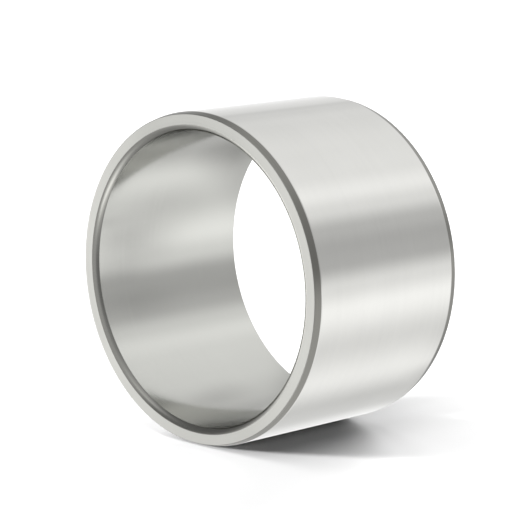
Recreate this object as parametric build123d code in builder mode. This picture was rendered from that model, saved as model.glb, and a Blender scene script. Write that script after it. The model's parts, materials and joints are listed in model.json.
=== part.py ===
from build123d import *

import os

# Inner ring of a needle roller bearing: a plain sleeve of hardened bearing steel. A shaft is
# pressed into its bore, and the needle rollers of the bearing roll on its outside.
#
# The ring's axis is Y and its centre is the origin. +Z is up, with the ring standing on its
# raceway. Lengths are in millimetres.

# Boundary dimensions
BORE_DIAMETER = 80.0
RACEWAY_DIAMETER = 90.0
WIDTH = 54.0

# The slender chamfer at each end of the raceway, which leads the ring in between the rollers
LEAD_IN_LENGTH = 2.2
LEAD_IN_DEPTH = 0.5
LEAD_IN_BLEND = 2.0

# The rounded corner at each mouth of the bore, which clears the fillet of the shaft's shoulder.
# It is turned before the bore and the face are ground, so grinding cuts its arc short at both ends.
BORE_CORNER_LENGTH = 1.20
BORE_CORNER_DEPTH = 1.65
BORE_CORNER_RADIUS = 2.8

# The small radius left on every other edge
EDGE_BREAK = 0.2

BORE_RADIUS = BORE_DIAMETER / 2
RACEWAY_RADIUS = RACEWAY_DIAMETER / 2


def end_profile(side):
    """Draws the section's profile at one end of the ring, from the bore out to the raceway."""
    face = side * WIDTH / 2
    mouth = (BORE_RADIUS, face - side * BORE_CORNER_LENGTH)
    face_inner = (BORE_RADIUS + BORE_CORNER_DEPTH, face)
    face_outer = (RACEWAY_RADIUS - LEAD_IN_DEPTH, face)
    raceway_end = (RACEWAY_RADIUS, face - side * LEAD_IN_LENGTH)
    RadiusArc(mouth, face_inner, side * BORE_CORNER_RADIUS)
    Polyline(face_inner, face_outer, raceway_end)
    return mouth, raceway_end


with BuildPart() as inner_ring:
    # The wall's section, with X as the radius and Y along the ring's axis
    with BuildSketch(Plane.XY) as section:
        with BuildLine():
            front_mouth, front_raceway_end = end_profile(-1)
            back_mouth, back_raceway_end = end_profile(1)
            Line(front_mouth, back_mouth)
            Line(front_raceway_end, back_raceway_end)
        make_face()
        raceway_corners = section.vertices().group_by(Axis.X)[-1]
        fillet(raceway_corners, LEAD_IN_BLEND)
        mouths, inner_edges, outer_edges = section.vertices().group_by(Axis.X)[:3]
        fillet(mouths + inner_edges + outer_edges, EDGE_BREAK)
    revolve(axis=Axis.Y)

inner_ring.part.label = "inner_ring"

os.makedirs("parts", exist_ok=True)
export_step(inner_ring.part, "parts/inner_ring.step")
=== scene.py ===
import json
import math

import bpy
from mathutils import Matrix, Vector


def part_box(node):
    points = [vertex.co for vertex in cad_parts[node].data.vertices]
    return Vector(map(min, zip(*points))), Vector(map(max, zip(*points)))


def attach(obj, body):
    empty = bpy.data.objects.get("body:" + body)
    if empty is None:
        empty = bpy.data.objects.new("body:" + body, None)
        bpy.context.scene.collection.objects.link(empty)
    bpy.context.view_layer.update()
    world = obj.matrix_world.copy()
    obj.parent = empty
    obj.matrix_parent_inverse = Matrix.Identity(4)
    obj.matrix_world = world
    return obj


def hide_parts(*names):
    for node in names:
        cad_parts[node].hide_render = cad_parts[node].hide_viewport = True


# The looks of a needle roller bearing's inner ring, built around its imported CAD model. The ring's
# axis is Y, its centre is the origin and +Z is up. Everything is in metres.

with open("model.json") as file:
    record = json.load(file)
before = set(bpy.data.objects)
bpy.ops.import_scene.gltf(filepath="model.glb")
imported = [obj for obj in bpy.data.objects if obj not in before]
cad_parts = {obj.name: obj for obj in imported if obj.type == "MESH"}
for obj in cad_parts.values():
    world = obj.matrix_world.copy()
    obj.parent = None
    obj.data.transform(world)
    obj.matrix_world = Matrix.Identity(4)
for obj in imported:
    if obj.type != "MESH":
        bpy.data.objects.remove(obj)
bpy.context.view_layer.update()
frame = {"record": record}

# Sizes from the frame
ring_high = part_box("inner_ring")[1]
mounts = {mount["name"]: mount for mount in frame["record"]["mounts"]}
RACEWAY_RADIUS = mounts["raceway"]["dims"]["r_mm"] / 1000
BORE_RADIUS = mounts["bore"]["dims"]["r_mm"] / 1000
HALF_WIDTH = ring_high.y
FLOOR_HEIGHT = -RACEWAY_RADIUS

# The ring's corners, as in the CAD model
LEAD_IN_LENGTH = 0.0022
LEAD_IN_DEPTH = 0.0005
LEAD_IN_BLEND = 0.0020
BORE_CORNER_LENGTH = 0.00120
BORE_CORNER_DEPTH = 0.00165
BORE_CORNER_RADIUS = 0.0028
EDGE_BREAK = 0.0002

# How finely the ring is meshed
STEPS_AROUND = 384
STEPS_PER_ARC = 6
STEPS_BORE_CORNER = 12
LONGEST_ROW = 0.004

# How much of the bore corner's first and last step goes to the broken edges beside it
MOUTH_EDGE_SHARE = 0.2
FACE_EDGE_SHARE = 0.1

# Directions in the section, whose two measures are the radius and y
TO_AXIS = Vector((-1, 0))
TO_FRONT = Vector((0, -1))

# The camera, aimed at the ring from the front right and a little above it
CAMERA_AZIMUTH = math.radians(45.48)
CAMERA_ELEVATION = math.radians(10.05)
CAMERA_DISTANCE = 0.7288
CAMERA_LENS = 188.34
CAMERA_RIGHT = -0.00329
CAMERA_UP = 0.00347
SENSOR_WIDTH = 36.0

# The studio's white table, the white that the camera sees behind it, and the faint light all round
FLOOR_SIZE = 60.0
FLOOR_ALBEDO = 0.80
BACKGROUND_LEVEL = 1.1
AMBIENT_LEVEL = 0.03


# ---------------------------------------------------------------- the ring's section

def rounded_corner(start, end, radius, steps):
    """An arc that bulges away from the steel, as (point, outward normal), in radius and y."""
    chord = end - start
    into_steel = Vector((-chord.y, chord.x)).normalized()
    centre = (start + end) / 2 + into_steel * math.sqrt(radius ** 2 - chord.length_squared / 4)
    first = (start - centre).normalized()
    last = (end - centre).normalized()
    normals = [first.slerp(last, step / steps) for step in range(steps + 1)]
    return [(centre + normal * radius, normal) for normal in normals]


def blend_corner(before, corner, after, radius):
    """The arc that rounds off a corner between two straight runs, like rounded_corner."""
    towards_before = (before - corner).normalized()
    towards_after = (after - corner).normalized()
    reach = radius / math.tan(towards_before.angle(towards_after) / 2)
    start = corner + towards_before * reach
    end = corner + towards_after * reach
    return rounded_corner(start, end, radius, STEPS_PER_ARC)


def bore_corner_rows(mouth, face_inner):
    """The rounded corner at the bore's mouth, with the broken edges that grinding leaves beside it."""
    corner = rounded_corner(mouth, face_inner, BORE_CORNER_RADIUS, STEPS_BORE_CORNER)
    first, first_normal = corner[0]
    last, last_normal = corner[-1]
    mouth_reach = EDGE_BREAK * math.tan(TO_AXIS.angle(first_normal) / 2)
    face_reach = EDGE_BREAK * math.tan(TO_FRONT.angle(last_normal) / 2)
    rows = [
        (mouth - TO_FRONT * mouth_reach, TO_AXIS, "edge"),
        (first.lerp(corner[1][0], MOUTH_EDGE_SHARE), first_normal, "bore_corner"),
    ]
    rows += [(point, normal, "bore_corner") for point, normal in corner[1:-1]]
    rows += [
        (last.lerp(corner[-2][0], FACE_EDGE_SHARE), last_normal, "edge"),
        (face_inner - TO_AXIS * face_reach, TO_FRONT, "face"),
    ]
    return rows


def front_rows():
    """The front end's rows, from the bore out: (point, outward normal, finish after it)."""
    face = -HALF_WIDTH
    mouth = Vector((BORE_RADIUS, face + BORE_CORNER_LENGTH))
    face_inner = Vector((BORE_RADIUS + BORE_CORNER_DEPTH, face))
    face_outer = Vector((RACEWAY_RADIUS - LEAD_IN_DEPTH, face))
    raceway_end = Vector((RACEWAY_RADIUS, face + LEAD_IN_LENGTH))
    raceway_middle = Vector((RACEWAY_RADIUS, 0))
    outer_edge = blend_corner(face_inner, face_outer, raceway_end, EDGE_BREAK)
    lead_in_blend = blend_corner(face_outer, raceway_end, raceway_middle, LEAD_IN_BLEND)
    rows = bore_corner_rows(mouth, face_inner)
    rows += [(point, normal, "edge") for point, normal in outer_edge[:-1]]
    rows.append((*outer_edge[-1], "chamfer"))
    rows += [(point, normal, "raceway") for point, normal in lead_in_blend]
    return rows


def ring_section():
    """The whole closed section: the front end's rows, then the same rows mirrored for the back."""
    front = front_rows()
    back = []
    for index in reversed(range(len(front))):
        point, normal, _ = front[index]
        finish = front[index - 1][2] if index else "bore"
        back.append((Vector((point.x, -point.y)), Vector((normal.x, -normal.y)), finish))
    return split_long_bands(front + back)


def split_long_bands(rows):
    """Adds rows along the flat bands, so that none is longer than LONGEST_ROW."""
    finer = []
    for index, (point, normal, finish) in enumerate(rows):
        end = rows[(index + 1) % len(rows)][0]
        parts = max(1, math.ceil((end - point).length / LONGEST_ROW))
        for part in range(parts):
            finer.append((point.lerp(end, part / parts), normal, finish))
    return finer


def lathe_ring(name, rows):
    """Turns the section about Y into one closed mesh with the section's exact normals."""
    slots = list(FINISHES)
    vertices = []
    normals = []
    for step in range(STEPS_AROUND):
        angle = 2 * math.pi * step / STEPS_AROUND
        out_x, out_z = math.cos(angle), math.sin(angle)
        for point, normal, _ in rows:
            vertices.append((point.x * out_x, point.y, point.x * out_z))
            normals.append((normal.x * out_x, normal.y, normal.x * out_z))
    faces = []
    finishes = []
    count = len(rows)
    for step in range(STEPS_AROUND):
        here = step * count
        there = (step + 1) % STEPS_AROUND * count
        for row in range(count):
            above = (row + 1) % count
            faces.append((here + row, here + above, there + above, there + row))
            finishes.append(slots.index(rows[row][2]))
    mesh = bpy.data.meshes.new(name)
    mesh.from_pydata(vertices, [], faces)
    mesh.polygons.foreach_set("material_index", finishes)
    mesh.shade_smooth()
    mesh.normals_split_custom_set_from_vertices(normals)
    piece = bpy.data.objects.new(name, mesh)
    bpy.context.scene.collection.objects.link(piece)
    return piece


# ---------------------------------------------------------------- the finishes

# The finishes, in the order of the ring's material slots. The ground lines have a depth in metres.
# They change the shade by a share of itself, line_contrast, and the roughness by line_roughness,
# either way. Grazing tints what is reflected at a shallow angle, and is 1 unless given.
FINISHES = {
    "raceway": {
        "name": "honed_raceway", "colour": (0.630, 0.628, 0.606), "roughness": 0.09,
        "anisotropy": 0.3, "line_depth": 1e-6, "line_contrast": 0.015, "line_roughness": 0.01,
    },
    "chamfer": {
        "name": "turned_chamfer", "colour": (0.247, 0.244, 0.226), "roughness": 0.30,
        "anisotropy": 0.2, "line_depth": 4e-6, "line_contrast": 0.06, "line_roughness": 0.05,
    },
    "face": {
        "name": "ground_face", "colour": (0.614, 0.614, 0.582), "roughness": 0.35,
        "anisotropy": 0.80, "line_depth": 3e-6, "line_contrast": 0.03, "line_roughness": 0.04,
    },
    "bore_corner": {
        "name": "turned_corner", "colour": (0.500, 0.498, 0.467), "roughness": 0.22,
        "anisotropy": 0.2, "line_depth": 3e-6, "line_contrast": 0.05, "line_roughness": 0.04,
    },
    "bore": {
        "name": "ground_bore", "colour": (0.550, 0.552, 0.525), "roughness": 0.15,
        "anisotropy": 0.3, "line_depth": 5e-7, "line_contrast": 0.012, "line_roughness": 0.015,
        "grazing": 0.74,
    },
    "edge": {
        "name": "tumbled_edge", "colour": (0.420, 0.418, 0.394), "roughness": 0.30,
        "anisotropy": 0.0, "line_depth": 3e-6, "line_contrast": 0.05, "line_roughness": 0.05,
    },
}

# The ground lines, as (noise cells per metre across them, cells per metre along them, detail), and
# how the fine and the broad ones are mixed
FINE_LINES = (5200.0, 26.0, 3.0)
BROAD_LINES = (900.0, 9.0, 2.0)
FINE_SHARE = 0.55
BROAD_SHARE = 0.45
LINE_NOISE_ROUGHNESS = 0.6

# The soft clouding that handling leaves on the steel
CLOUDS_PER_METRE = 70.0
CLOUD_DETAIL = 3.0
CLOUD_CONTRAST = 0.015
CLOUD_ROUGHNESS = 0.02

# The part of the noise's range that is used, and the turn that lays the shine across the lines
NOISE_RANGE = (0.3, 0.7)
QUARTER_TURN = 0.25


class Nodes:
    """A node tree with short calls for adding and linking nodes."""

    def __init__(self, tree):
        self.tree = tree
        tree.nodes.clear()

    def add(self, kind, inputs=None, **settings):
        node = self.tree.nodes.new(kind)
        for name, value in settings.items():
            setattr(node, name, value)
        for key, value in (inputs or {}).items():
            self.put(node.inputs[key], value)
        return node

    def put(self, socket, value):
        if isinstance(value, bpy.types.NodeSocket):
            self.tree.links.new(value, socket)
        else:
            socket.default_value = value

    def math(self, operation, *values):
        return self.add("ShaderNodeMath", dict(enumerate(values)), operation=operation).outputs[0]

    def rescale(self, value, low, high, to_low, to_high, kind="LINEAR"):
        inputs = {"Value": value, "From Min": low, "From Max": high, "To Min": to_low, "To Max": to_high}
        node = self.add("ShaderNodeMapRange", inputs, interpolation_type=kind)
        return node.outputs["Result"]


def new_material(name):
    """A new material, and its node tree with nothing in it yet."""
    material = bpy.data.materials.new(name)
    material.use_nodes = True
    return material, Nodes(material.node_tree)


def radius_from_axis(nodes, place):
    """Distance from the ring's axis at a point of the surface."""
    parts = nodes.add("ShaderNodeSeparateXYZ", {"Vector": place})
    across = nodes.math("MULTIPLY", parts.outputs["X"], parts.outputs["X"])
    both = nodes.math("MULTIPLY_ADD", parts.outputs["Z"], parts.outputs["Z"], across)
    return nodes.math("SQRT", both)


def lines_around(nodes, place, cells_across, cells_along, detail):
    """Noise drawn out into lines that run round the ring, as a grinding wheel leaves them."""
    stretch = (cells_along, cells_across, cells_along)
    scaled = nodes.add("ShaderNodeVectorMath", {0: place, 1: stretch}, operation="MULTIPLY")
    radius = nodes.math("MULTIPLY", radius_from_axis(nodes, place), cells_across)
    noise = nodes.add("ShaderNodeTexNoise", {
        "Vector": scaled.outputs[0],
        "W": radius,
        "Scale": 1.0,
        "Detail": detail,
        "Roughness": LINE_NOISE_ROUGHNESS,
    }, noise_dimensions="4D")
    return noise.outputs["Fac"]


def steel(name, colour, roughness, anisotropy, line_depth, line_contrast, line_roughness, grazing=1.0):
    """Hardened bearing steel with ground lines round the ring, in one of its finishes."""
    material, nodes = new_material(name)
    place = nodes.add("ShaderNodeTexCoord").outputs["Object"]
    fine = lines_around(nodes, place, *FINE_LINES)
    broad = lines_around(nodes, place, *BROAD_LINES)
    cloud_inputs = {"Vector": place, "Scale": CLOUDS_PER_METRE, "Detail": CLOUD_DETAIL}
    clouds = nodes.add("ShaderNodeTexNoise", cloud_inputs).outputs["Fac"]

    lines = nodes.math("MULTIPLY_ADD", broad, BROAD_SHARE, nodes.math("MULTIPLY", fine, FINE_SHARE))
    line_shade = nodes.rescale(lines, *NOISE_RANGE, 1 - line_contrast, 1 + line_contrast)
    cloud_shade = nodes.rescale(clouds, *NOISE_RANGE, 1 - CLOUD_CONTRAST, 1 + CLOUD_CONTRAST)
    shade = nodes.math("MULTIPLY", line_shade, cloud_shade)
    tinted = nodes.add("ShaderNodeVectorMath", {0: colour, "Scale": shade}, operation="SCALE")

    rough_low, rough_high = roughness - line_roughness, roughness + line_roughness
    uneven = nodes.rescale(lines, *NOISE_RANGE, rough_low, rough_high)
    rubbed = nodes.rescale(clouds, *NOISE_RANGE, -CLOUD_ROUGHNESS, CLOUD_ROUGHNESS)
    bump = nodes.add("ShaderNodeBump", {"Height": fine, "Distance": line_depth, "Strength": 1.0})
    along = nodes.add("ShaderNodeTangent", direction_type="RADIAL", axis="Y")

    shader = nodes.add("ShaderNodeBsdfPrincipled", {
        "Base Color": tinted.outputs[0],
        "Metallic": 1.0,
        "Roughness": nodes.math("ADD", uneven, rubbed),
        "Specular Tint": (grazing, grazing, grazing, 1.0),
        "Anisotropic": anisotropy,
        "Anisotropic Rotation": QUARTER_TURN,
        "Normal": bump.outputs["Normal"],
        "Tangent": along.outputs["Tangent"],
    })
    nodes.add("ShaderNodeOutputMaterial", {"Surface": shader.outputs["BSDF"]})
    return material


# ---------------------------------------------------------------- the studio

# The light tent round the ring's axis, as (angle, brightness). Angles are counted in degrees round
# Y, from +X up over +Z, so those below 0 are the white table's reflection. FRONT is the tent near
# its end towards -Y and BACK towards +Y. NEAR is between FRONT and MIDDLE. The levels were set
# after the photo's tones and then changed until the renders came close.
FRONT = [
    (-180, 1.05), (-166, 1.38), (-150, 0.90), (-137, 0.42), (-125, 0.38), (-112, 0.55),
    (-96, 0.95), (-77, 1.85), (-60, 0.95), (-44, 0.54), (-30, 0.34), (-15, 0.21),
    (16, 0.20), (54, 0.32), (80, 0.50), (106, 0.76), (114, 0.68), (128, 0.27),
    (142, 0.18), (156, 0.14), (166, 0.20), (174, 0.55),
]

NEAR = [
    (-180, 1.00), (-170, 1.60), (-157, 1.70), (-150, 0.90), (-137, 0.36), (-122, 0.28),
    (-104, 0.35), (-84, 0.42), (-64, 0.62), (-37, 0.40), (-11, 0.25), (16, 0.22),
    (43, 0.28), (69, 0.40), (93, 0.38), (115, 0.18), (136, 0.14), (153, 0.12),
    (165, 0.19), (173, 0.42),
]

MIDDLE = [
    (-180, 1.30), (-165, 1.70), (-150, 0.90), (-125, 0.80), (-95, 1.10), (-8, 1.13),
    (4, 0.45), (40, 0.60), (70, 0.90), (100, 0.86), (137, 0.38), (155, 0.50),
    (172, 0.95),
]

BACK = [
    (-180, 1.00), (-158, 1.00), (-142, 0.98), (-120, 0.79), (-108, 0.77), (-78, 1.20),
    (-51, 0.98), (-24, 1.33), (-8, 1.04), (8, 0.60), (20, 0.57), (32, 0.66), (46, 1.02),
    (58, 1.22), (72, 1.08), (96, 1.04), (130, 0.93), (144, 0.82), (150, 0.75),
    (153, 0.86), (162, 0.90), (172, 0.96),
]

# How bright the tent's front end and the whole tent are, and its runs from front to back, with how
# far a direction leans towards +Y where each takes over from the last
FRONT_END_LEVEL = 0.47
TENT_LEVEL = 1.07
TENT_RUNS = [
    (FRONT, -0.96, -0.78),
    (NEAR, -0.72, -0.32),
    (MIDDLE, 0.00, 0.28),
    (BACK, 0.45, 0.72),
]

# The colour mix node's sockets
MIX_FIRST, MIX_SECOND, MIX_RESULT = 6, 7, 2

# The studio's flag: a clear film behind the ring with soft grey patches, at (x, z, radius, how
# much light is left in the middle). Only the steel's reflections pass through it.
FLAG_DISTANCE = 0.060
FLAG_HALF_SIZE = 0.090
FLAG_PATCHES = [
    (-0.031, -0.018, 0.026, 0.56),
    (0.038, -0.033, 0.032, 0.62),
    (0.006, -0.042, 0.028, 0.86),
    (0.052, -0.008, 0.017, 0.76),
    (0.033, -0.057, 0.013, 0.84),
    (-0.052, 0.024, 0.020, 0.82),
    (0.040, 0.023, 0.024, 0.85),
]


def tent_ramp(nodes, turn, stops):
    """A smooth run of brightness round the ring's axis."""
    node = nodes.add("ShaderNodeValToRGB", {"Fac": nodes.rescale(turn, -math.pi, math.pi, 0.0, 1.0)})
    ramp = node.color_ramp
    ramp.interpolation = "EASE"
    closed = stops + [(180, stops[0][1])]
    while len(ramp.elements) < len(closed):
        ramp.elements.new(0.5)
    for element, (angle, level) in zip(ramp.elements, closed):
        element.position = (angle + 180) / 360
        element.color = (level, level, level, 1.0)
    return node.outputs["Color"]


def make_world():
    """What the steel reflects is the tent, what the camera sees is white, and the rest is dim."""
    world = bpy.data.worlds.new("light_tent")
    bpy.context.scene.world = world
    world.use_nodes = True
    nodes = Nodes(world.node_tree)
    direction = nodes.add("ShaderNodeTexCoord").outputs["Generated"]
    parts = nodes.add("ShaderNodeSeparateXYZ", {"Vector": direction})
    turn = nodes.math("ARCTAN2", parts.outputs["Z"], parts.outputs["X"])
    tent = (FRONT_END_LEVEL, FRONT_END_LEVEL, FRONT_END_LEVEL, 1.0)
    for stops, start, end in TENT_RUNS:
        reach = nodes.rescale(parts.outputs["Y"], start, end, 0.0, 1.0, "SMOOTHSTEP")
        blend = nodes.add("ShaderNodeMix", {"Factor": reach}, data_type="RGBA")
        nodes.put(blend.inputs[MIX_FIRST], tent)
        nodes.put(blend.inputs[MIX_SECOND], tent_ramp(nodes, turn, stops))
        tent = blend.outputs[MIX_RESULT]

    # The tent is only in reflections, and not in the light that the table scatters back
    path = nodes.add("ShaderNodeLightPath")
    unscattered = nodes.math("LESS_THAN", path.outputs["Diffuse Depth"], 0.5)
    reflected = nodes.math("MULTIPLY", unscattered, path.outputs["Is Glossy Ray"])
    ambient = nodes.add("ShaderNodeBackground", {"Color": (1, 1, 1, 1), "Strength": AMBIENT_LEVEL})
    seen = nodes.add("ShaderNodeBackground", {"Color": (1, 1, 1, 1), "Strength": BACKGROUND_LEVEL})
    lit = nodes.add("ShaderNodeBackground", {"Color": tent, "Strength": TENT_LEVEL})
    unseen = nodes.add("ShaderNodeMixShader", {0: reflected, 1: ambient.outputs[0], 2: lit.outputs[0]})
    both = nodes.add("ShaderNodeMixShader", {
        0: path.outputs["Is Camera Ray"],
        1: unseen.outputs[0],
        2: seen.outputs[0],
    })
    nodes.add("ShaderNodeOutputWorld", {"Surface": both.outputs[0]})


def make_sheet(name, half_size, up, place, material):
    """A square sheet centred on place, with its sides along X and along the direction up."""
    across = Vector((half_size, 0, 0))
    along = up * half_size
    corners = [-across - along, across - along, across + along, along - across]
    mesh = bpy.data.meshes.new(name)
    mesh.from_pydata(corners, [], [(0, 1, 2, 3)])
    mesh.materials.append(material)
    sheet = bpy.data.objects.new(name, mesh)
    sheet.location = place
    bpy.context.scene.collection.objects.link(sheet)
    return sheet


def make_floor():
    """A wide matt white table, which the ring stands on."""
    material, nodes = new_material("matt_white")
    white = (FLOOR_ALBEDO, FLOOR_ALBEDO, FLOOR_ALBEDO, 1.0)
    shader = nodes.add("ShaderNodeBsdfDiffuse", {"Color": white})
    nodes.add("ShaderNodeOutputMaterial", {"Surface": shader.outputs["BSDF"]})
    floor = make_sheet("floor", FLOOR_SIZE / 2, Vector((0, 1, 0)), (0, 0, FLOOR_HEIGHT), material)
    floor.visible_glossy = False


def make_flag():
    """A sheet of clear film with soft grey patches, which shades the reflections in the bore."""
    material, nodes = new_material("grey_patches")
    place = nodes.add("ShaderNodeTexCoord").outputs["Object"]
    light = 1.0
    for x, z, radius, left in FLAG_PATCHES:
        away = nodes.add("ShaderNodeVectorMath", {0: place, 1: (x, 0, z)}, operation="DISTANCE")
        patch = nodes.rescale(away.outputs["Value"], 0.0, radius, left, 1.0, "SMOOTHSTEP")
        light = nodes.math("MULTIPLY", light, patch)
    film = nodes.add("ShaderNodeBsdfTransparent", {"Color": light})
    nodes.add("ShaderNodeOutputMaterial", {"Surface": film.outputs["BSDF"]})
    flag = make_sheet("flag", FLAG_HALF_SIZE, Vector((0, 0, 1)), (0, FLAG_DISTANCE, 0), material)
    flag.visible_camera = False
    flag.visible_diffuse = False
    flag.visible_shadow = False


def make_sun(name, around, above, spread, floor_level):
    """A distant soft lamp that the steel doesn't reflect, with its angles and spread in degrees.

    Around is counted round +Z from +X, and above from the table. The floor level is how bright the
    lamp makes the table, where 1 is white.
    """
    lamp = bpy.data.lights.new(name, "SUN")
    lamp.energy = floor_level * math.pi / (FLOOR_ALBEDO * math.sin(math.radians(above)))
    lamp.angle = math.radians(spread)
    sun = bpy.data.objects.new(name, lamp)
    sun.rotation_euler = (0, math.radians(90 - above), math.radians(around))
    sun.visible_glossy = False
    bpy.context.scene.collection.objects.link(sun)


def make_camera():
    """The camera, moved sideways and up in its own plane to frame the ring."""
    level = math.cos(CAMERA_ELEVATION)
    back_x = math.sin(CAMERA_AZIMUTH) * level
    back_y = -math.cos(CAMERA_AZIMUTH) * level
    back = Vector((back_x, back_y, math.sin(CAMERA_ELEVATION)))
    right = Vector((0, 0, 1)).cross(back).normalized()
    up = back.cross(right)
    camera = bpy.data.objects.new("camera", bpy.data.cameras.new("camera"))
    camera.data.sensor_width = SENSOR_WIDTH
    camera.data.lens = CAMERA_LENS
    place = back * CAMERA_DISTANCE + right * CAMERA_RIGHT + up * CAMERA_UP
    turn = Matrix((right, up, back)).transposed().to_4x4()
    camera.matrix_world = Matrix.Translation(place) @ turn
    bpy.context.scene.collection.objects.link(camera)
    bpy.context.scene.camera = camera


# ---------------------------------------------------------------- the scene

make_camera()

ring = lathe_ring("inner_ring_steel", ring_section())
for finish in FINISHES.values():
    ring.data.materials.append(steel(**finish))
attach(ring, "root")
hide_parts("inner_ring")

make_world()
make_floor()
make_flag()

# Six lamps, whose directions, spreads and levels were fitted to the photo's shadow and rounded
make_sun("low_front_left", -130, 11.7, 9, 0.44)
make_sun("low_back_left", 117.5, 11.5, 26, 0.42)
make_sun("low_right", -62, 11, 14, 0.08)
make_sun("high_right", -41, 58, 40, 0.29)
make_sun("high_left", -140, 77, 31, 0.15)
make_sun("high_back", 119, 50, 20, 0.11)
bpy.context.scene.view_settings.view_transform = "Standard"
